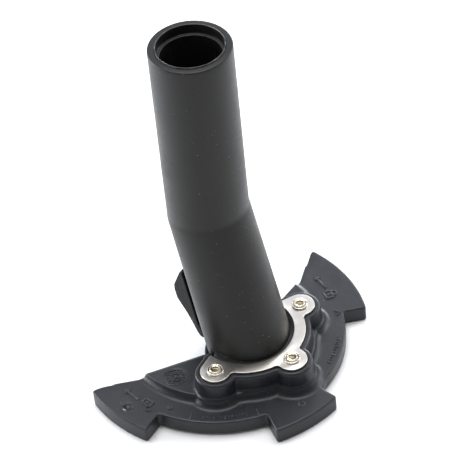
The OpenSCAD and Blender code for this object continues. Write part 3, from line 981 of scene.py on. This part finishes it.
def metal(name, dark, light, rough, streak, depth, turn=(0, 0, 0)):
    """Bare metal, brushed along the axis whose streak scale is smallest."""
    g = Graph(name)
    cloud = g.noise(60, 4, 0.6)
    brushed = g.noise(2600, 3, 0.6, g.stretched(streak, turn))
    colour = g.mix(g.spread(cloud, 0.35, 0.65, 0, 1), dark, light)
    colour = g.mix(g.spread(brushed, 0.35, 0.7, 0, 0.12), colour, tuple(c * 0.8 for c in dark))
    stain = g.spread(g.noise(230, 4, 0.7), 0.64, 0.78, 0, 0.15)
    colour = g.mix(stain, colour, (0.30, 0.24, 0.16))
    broad = g.spread(brushed, 0.3, 0.7, rough - 0.02, rough + 0.02)
    roughness = g.math("ADD", broad, g.spread(cloud, 0.3, 0.7, -0.02, 0.03))
    normal = g.bump(brushed, depth)
    return g.finish(colour, roughness, normal, 1.0)


# Name, dark and light colours, roughness, then the grain's depth and scale, the amount of edge
# rubbing and painted edge highlight with its colour, the dust and the specular level
# The light bluish edge colour here is partly rubbed edges and partly a painted highlight along the
# boss and ledge edges
mat_base = plastic(
    "base_nylon", (0.0045, 0.005, 0.0075), (0.008, 0.009, 0.013), 0.40,
    0.05, 1500, 0.85, (0.11, 0.12, 0.14), 0.5, 0.41)
mat_tube = plastic(
    "tube_nylon", (0.0065, 0.0064, 0.006), (0.011, 0.0108, 0.01), 0.42,
    0.035, 1800, 0.5, (0.16, 0.155, 0.15), 0.5, 0.31)
# The light edge colour here is a painted highlight on the rounded edges of the liner's top ring
mat_liner = plastic(
    "liner_nylon", (0.006, 0.006, 0.006), (0.011, 0.011, 0.0105), 0.34,
    0.02, 1500, 1.1, (0.3, 0.31, 0.31), 0.3, 0.45)
mat_lever = plastic(
    "lever_nylon", (0.006, 0.006, 0.0062), (0.01, 0.0101, 0.0104), 0.5,
    0.04, 1700, 0.4, (0.12, 0.12, 0.13), 0.3, 0.12)
mat_rubber = plastic(
    "rubber", (0.012, 0.012, 0.012), (0.02, 0.02, 0.02), 0.75,
    0.05, 1200, 0.2, None, 0.3, 0.3)
mat_acetal = plastic(
    "acetal", (0.62, 0.61, 0.57), (0.74, 0.73, 0.69), 0.42,
    0.02, 1500, 0.0, None, 0.0)
# Name, dark and light colours, roughness, the brushing's scale on each axis, and its depth
mat_plate = metal(
    "plate_steel", (0.58, 0.54, 0.49), (0.72, 0.69, 0.645), 0.30, (1, 0.12, 1), 0.0012, (0, 0, 0.6))
mat_screw = metal(
    "screw_steel", (0.66, 0.62, 0.55), (0.80, 0.77, 0.71), 0.26, (1, 1, 0.3), 0.0004)
# Darker golden-brown metal for the screws' sockets and grooves, painted shade in these recesses
mat_socket = metal(
    "screw_recess", (0.30, 0.24, 0.14), (0.46, 0.38, 0.25), 0.38, (1, 1, 0.3), 0.001)
mat_pin = metal(
    "pin_steel", (0.52, 0.52, 0.52), (0.66, 0.66, 0.65), 0.22, (0.1, 1, 1), 0.005)
mat_spring = metal(
    "spring_wire", (0.38, 0.38, 0.38), (0.52, 0.52, 0.51), 0.3, (1, 1, 0.4), 0.005)
mat_brass = metal(
    "brass", (0.58, 0.40, 0.16), (0.76, 0.56, 0.27), 0.3, (1, 1, 0.2), 0.006)


# ---- Put the pieces in place ----

def put(obj, material, body, slot, *replaced):
    """Gives a piece its material and body, and hides the CAD nodes named as the ones it replaces. The
    slot is not used.
    """
    obj.data.materials.clear()
    obj.data.materials.append(material)
    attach(obj, body)
    if replaced:
        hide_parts(*replaced)


put(make_base(), mat_base, "holder", "base_plastic", "base_flange")
put(make_marks(), mat_base, "holder", "base_plastic")
put(make_tube(), mat_tube, "holder", "tube_plastic", "rod_tube")
put(make_collar(), mat_tube, "holder", "tube_plastic")
put(make_ear("tube_ear_right", EAR_SPAN), mat_tube, "holder", "tube_plastic")
put(make_ear("tube_ear_left", [-x for x in EAR_SPAN[::-1]]), mat_tube, "holder", "tube_plastic")
put(make_liner(), mat_liner, "holder", "liner_plastic", "tube_liner")
put(make_plate(), mat_plate, "holder", "stainless_plate", "clamp_plate")
for side, angle in SCREW_ANGLES.items():
    screw = make_screw(side)
    put(screw, mat_screw, "holder", "stainless_screw", "clamp_screw_" + side)
    # The socket and the groove get the darker golden-brown metal: painted shade in these recesses
    screw.data.materials.append(mat_socket)
    a = math.radians(angle)
    centre = SCREW_R * np.array([math.cos(a), math.sin(a)]) + (0, FOOT_Y)
    for face in screw.data.polygons:
        off = np.hypot(*(np.array(face.center[:2]) / MM - centre))
        if face.center[2] > (PLATE_TOP + 0.3) * MM and (off < 2.35 or 3.7 < off < 4.3):
            face.material_index = 1
put(make_lever(), mat_lever, "lever", "lever_plastic", "release_lever")

spring = make_spring()
put(spring, mat_spring, "holder", "spring_steel", "plunger_spring")
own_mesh(spring)

carried = {
    "butt_stop": mat_liner, "butt_pad": mat_rubber, "foot_gasket": mat_rubber,
    "screw_insert_left": mat_brass, "screw_insert_front": mat_brass, "screw_insert_right": mat_brass,
    "lever_pin": mat_pin, "lock_plunger": mat_pin, "plunger_guide": mat_acetal,
    "plunger_ring": mat_pin, "spring_seat": mat_acetal,
}
for name, material in carried.items():
    for slot in nodes[name].material_slots:
        slot.material = material


# ---- Floor, light and camera ----

def flat_material(name, colour, rough):
    g = Graph(name)
    tone = g.mix(g.spread(g.noise(8, 2), 0.3, 0.7, 0, 1), colour, tuple(c * 0.995 for c in colour))
    g.link(tone, g.shader.inputs["Base Color"])
    g.shader.inputs["Roughness"].default_value = rough
    g.shader.inputs["Specular IOR Level"].default_value = 0.2
    return g.material


FLOOR_HALF, FLOOR_Z = 6000, -0.02
corners = [(x * FLOOR_HALF, y * FLOOR_HALF, FLOOR_Z) for x, y in ((-1, -1), (1, -1), (1, 1), (-1, 1))]
floor = add_mesh("floor", corners, [(0, 1, 2, 3)], False)
floor.data.materials.append(flat_material("floor_white", (0.93, 0.93, 0.935), 0.6))

# The world fades from a cool white to a warm grey towards one direction
scene = bpy.context.scene
scene.view_settings.view_transform = "Standard"
world = bpy.data.worlds.new("world")
world.use_nodes = True
sky = world.node_tree
toward = sky.nodes.new("ShaderNodeVectorMath")
toward.operation = "DOT_PRODUCT"
toward.inputs[1].default_value = (-0.63, -0.71, 0.32)
sky.links.new(sky.nodes.new("ShaderNodeTexCoord").outputs["Generated"], toward.inputs[0])
fade = sky.nodes.new("ShaderNodeValToRGB")
stops = ((0.28, (0.86, 0.91, 1.0, 1)), (0.82, (0.30, 0.295, 0.29, 1)))
for element, (position, colour) in zip(fade.color_ramp.elements, stops):
    element.position, element.color = position, colour
shift = sky.nodes.new("ShaderNodeMapRange")
shift.inputs["From Min"].default_value = -1
sky.links.new(toward.outputs["Value"], shift.inputs["Value"])
sky.links.new(shift.outputs["Result"], fade.inputs["Fac"])
sky.links.new(fade.outputs["Color"], sky.nodes["Background"].inputs["Color"])
scene.world = world


def area_light(name, place, aim, size, power, colour=(1, 1, 1)):
    light = bpy.data.lights.new(name, "AREA")
    light.shape, light.size, light.size_y = "RECTANGLE", size[0], size[1]
    light.energy, light.color = power, colour
    obj = new_object(name, light)
    obj.location = place
    obj.rotation_euler = (Vector(aim) - Vector(place)).to_track_quat("-Z", "Y").to_euler()


area_light("left_box", (-1.1, 1.1, 0.55), (0, 0, 0.12), (0.5, 0.9), 9)
area_light("right_box", (1.25, -0.35, 0.6), (0, 0, 0.12), (0.45, 0.9), 9)
cool = (0.92, 0.95, 1.0)
area_light("right_low", (1.05, 0.6, 0.2), (0.03, -0.03, 0.01), (0.35, 0.22), 9, cool)
area_light("left_low", (-0.6, 1.1, 0.22), (-0.03, -0.03, 0.01), (0.35, 0.22), 10, cool)
area_light("top", (0.15, 0.25, 1.7), (0, 0.1, 0.0), (1.2, 1.2), 26)

camera = bpy.data.cameras.new("camera")
camera.sensor_width, camera.lens = 36.0, 187.8
camera.clip_start, camera.clip_end = 0.05, 50
view = new_object("camera", camera)
right = Vector((0.69791, -0.71192, -0.07811))
up = Vector((0.52127, 0.43015, 0.73705))
away = Vector((-0.49112, -0.55511, 0.67130))
view.matrix_world = Matrix.Translation((-0.71359, -0.82400, 1.08560)) @ Matrix(
    (right, up, away)
).transposed().to_4x4()
scene.camera = view
